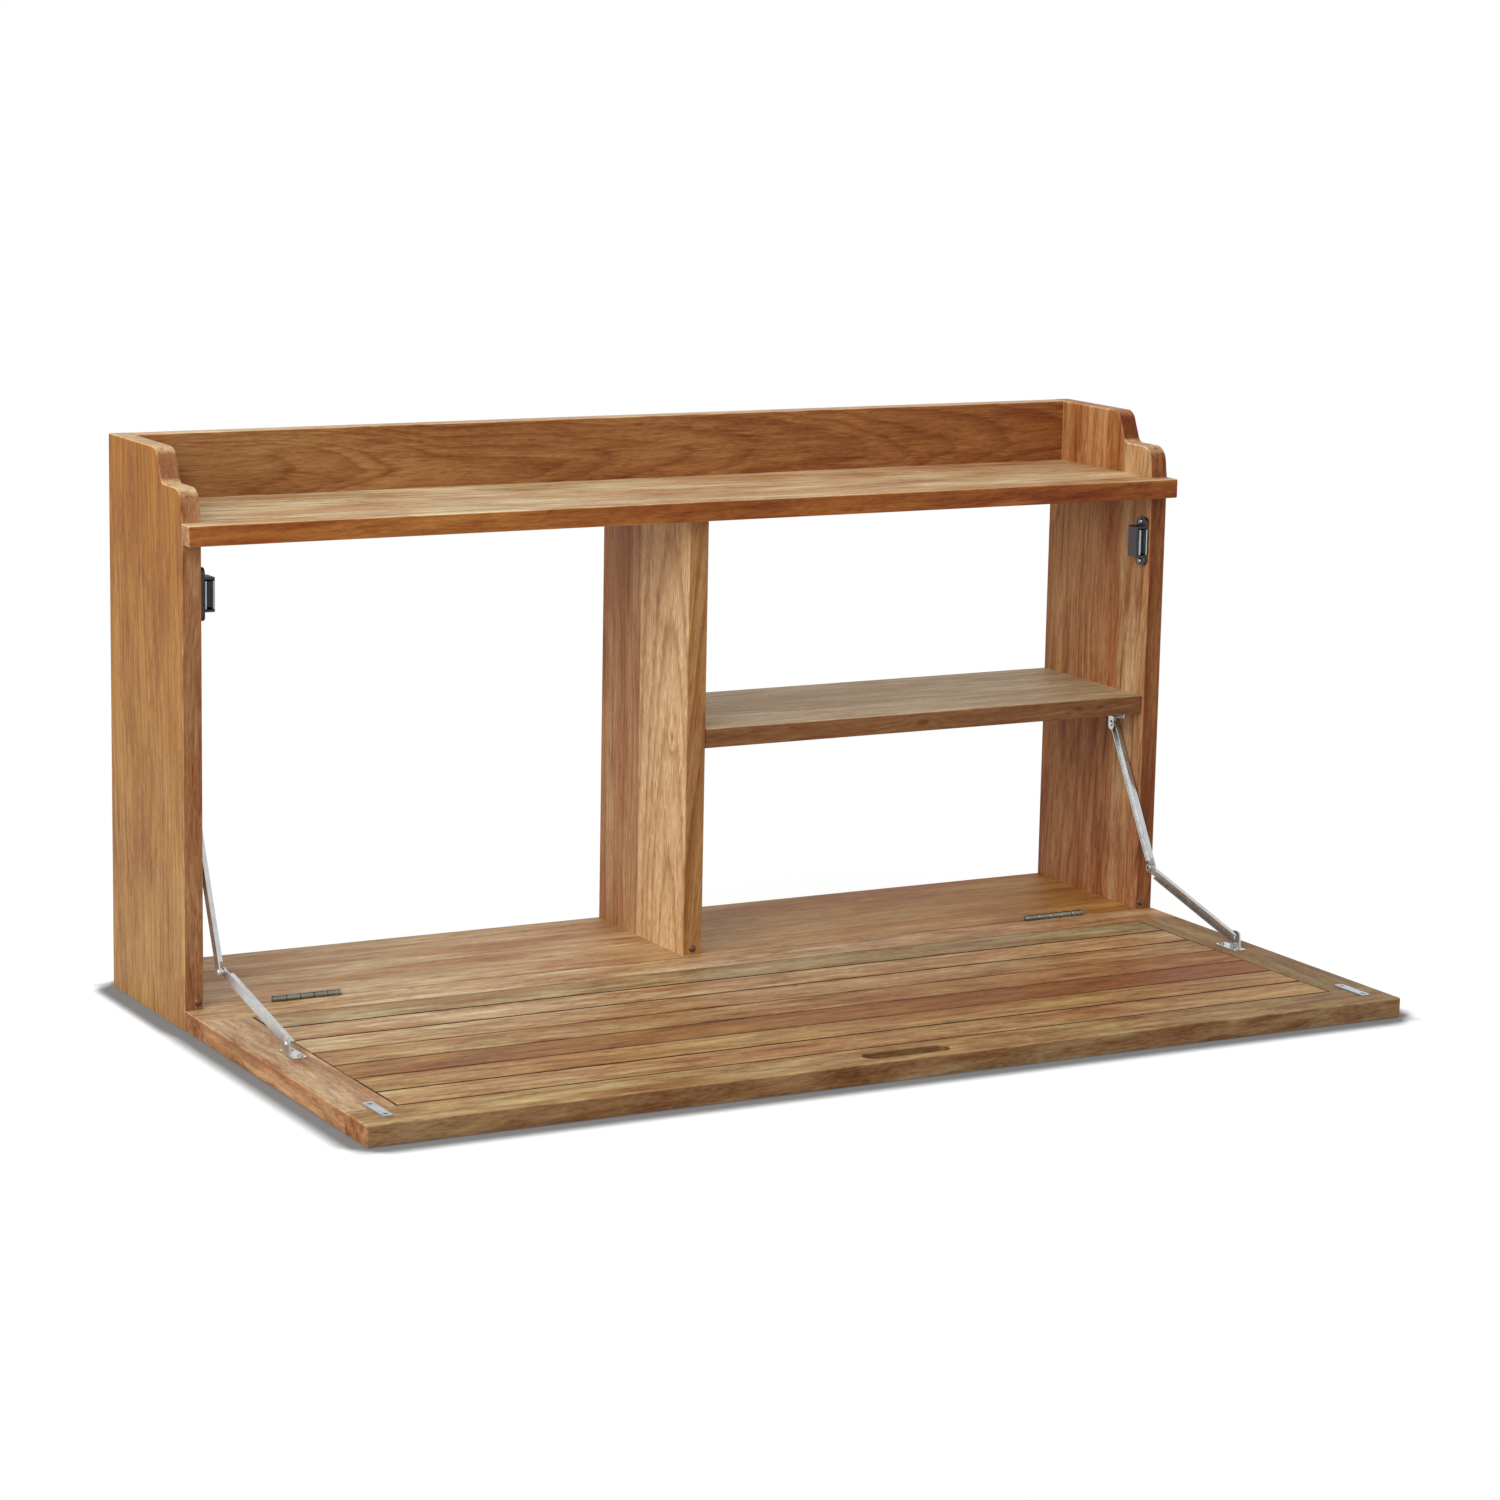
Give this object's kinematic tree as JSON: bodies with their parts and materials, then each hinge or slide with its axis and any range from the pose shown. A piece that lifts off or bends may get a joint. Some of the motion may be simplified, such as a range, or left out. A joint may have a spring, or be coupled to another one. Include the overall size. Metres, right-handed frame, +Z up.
{
  "type": "fold down wall desk",
  "caption": "Teak wall cabinet with a scrolled gallery, open bays and a slatted flap that folds down on channel stays to make a desk top, closed by magnetic catches.",
  "frame": {"origin": "bottom centre of the case on the wall plane, where the back edge of the base board meets the floor plane", "axes": "+X to the right seen from the front, +Y toward the wall, +Z up; the flap lies open toward -Y"},
  "size_m": [1, 0.5738, 0.498],
  "materials": {
    "case_teak": "oiled, satin",
    "flap_teak": "oiled, satin",
    "dowel_beech": "plain",
    "hinge_steel": "dull steel",
    "stay_steel": "bright zinc plated",
    "zinc_plate": "zinc plated",
    "screw_steel": "nickel plated",
    "catch_plastic": "moulded, dark brown",
    "ferrite": "sintered",
    "clear_bumper": "clear soft plastic"
  },
  "bodies": {
    "case": {"left_side": "case_teak", "right_side": "case_teak", "base_board": "case_teak", "top_shelf": "case_teak", "gallery_rail": "case_teak", "divider_back_board": "case_teak", "divider_front_board": "case_teak", "small_shelf": "case_teak", "case_dowels": "dowel_beech", "left_hinge_case_leaf": "hinge_steel", "right_hinge_case_leaf": "hinge_steel", "hinge_pins": "hinge_steel", "hinge_case_screws": "screw_steel", "left_catch_housing": "catch_plastic", "right_catch_housing": "catch_plastic", "catch_magnets": "ferrite", "catch_pole_plates": "zinc_plate", "catch_screws": "screw_steel", "left_stay_case_bracket": "stay_steel", "right_stay_case_bracket": "stay_steel", "stay_case_screws": "screw_steel", "stay_case_rivets": "stay_steel", "flap_bumpers": "clear_bumper", "left_hanger_plate": "zinc_plate", "right_hanger_plate": "zinc_plate", "hanger_screws": "screw_steel"},
    "flap": {"flap_back_rail": "flap_teak", "flap_front_rail": "flap_teak", "flap_left_stile": "flap_teak", "flap_right_stile": "flap_teak", "flap_slat_1": "flap_teak", "flap_slat_2": "flap_teak", "flap_slat_3": "flap_teak", "flap_slat_4": "flap_teak", "flap_slat_5": "flap_teak", "flap_slat_6": "flap_teak", "flap_slat_7": "flap_teak", "flap_dowels": "dowel_beech", "left_hinge_flap_leaf": "hinge_steel", "right_hinge_flap_leaf": "hinge_steel", "hinge_flap_screws": "screw_steel", "left_strike_plate": "zinc_plate", "right_strike_plate": "zinc_plate", "strike_screws": "screw_steel", "left_stay_flap_bracket": "stay_steel", "right_stay_flap_bracket": "stay_steel", "stay_flap_screws": "screw_steel", "stay_flap_rivets": "stay_steel"},
    "left_upper_arm": {"left_stay_upper_arm": "stay_steel", "left_knee_stud": "stay_steel"},
    "right_upper_arm": {"right_stay_upper_arm": "stay_steel", "right_knee_stud": "stay_steel"},
    "left_lower_arm": {"left_stay_lower_arm": "stay_steel", "left_knee_eyelet": "stay_steel"},
    "right_lower_arm": {"right_stay_lower_arm": "stay_steel", "right_knee_eyelet": "stay_steel"}
  },
  "joints": [
    {"name": "flap_hinge", "type": "hinge", "parent": "case", "child": "flap", "pos_m": [0, -0.1774, 0.0198], "axis": [-1, 0, 0], "range_deg": [0, 90]},
    {"name": "left_upper_arm_pivot", "type": "hinge", "parent": "case", "child": "left_upper_arm", "pos_m": [-0.4781, -0.146, 0.193], "axis": [1, 0, 0], "range_deg": [0, 15.9]},
    {"name": "left_lower_arm_pivot", "type": "hinge", "parent": "flap", "child": "left_lower_arm", "pos_m": [-0.4736, -0.352, 0.028], "axis": [-1, 0, 0], "range_deg": [0, 10.2]},
    {"name": "right_upper_arm_pivot", "type": "hinge", "parent": "case", "child": "right_upper_arm", "pos_m": [0.4781, -0.134, 0.195], "axis": [1, 0, 0], "range_deg": [0, 24.1]},
    {"name": "right_lower_arm_pivot", "type": "hinge", "parent": "flap", "child": "right_lower_arm", "pos_m": [0.4736, -0.352, 0.028], "axis": [-1, 0, 0], "range_deg": [0, 7]}
  ],
  "couplings": [
    {"joint": "left_upper_arm_pivot", "follows": "flap_hinge", "ratio": 0.17479},
    {"joint": "left_lower_arm_pivot", "follows": "flap_hinge", "ratio": 0.11139},
    {"joint": "right_upper_arm_pivot", "follows": "flap_hinge", "ratio": 0.26563},
    {"joint": "right_lower_arm_pivot", "follows": "flap_hinge", "ratio": 0.076242}
  ]
}
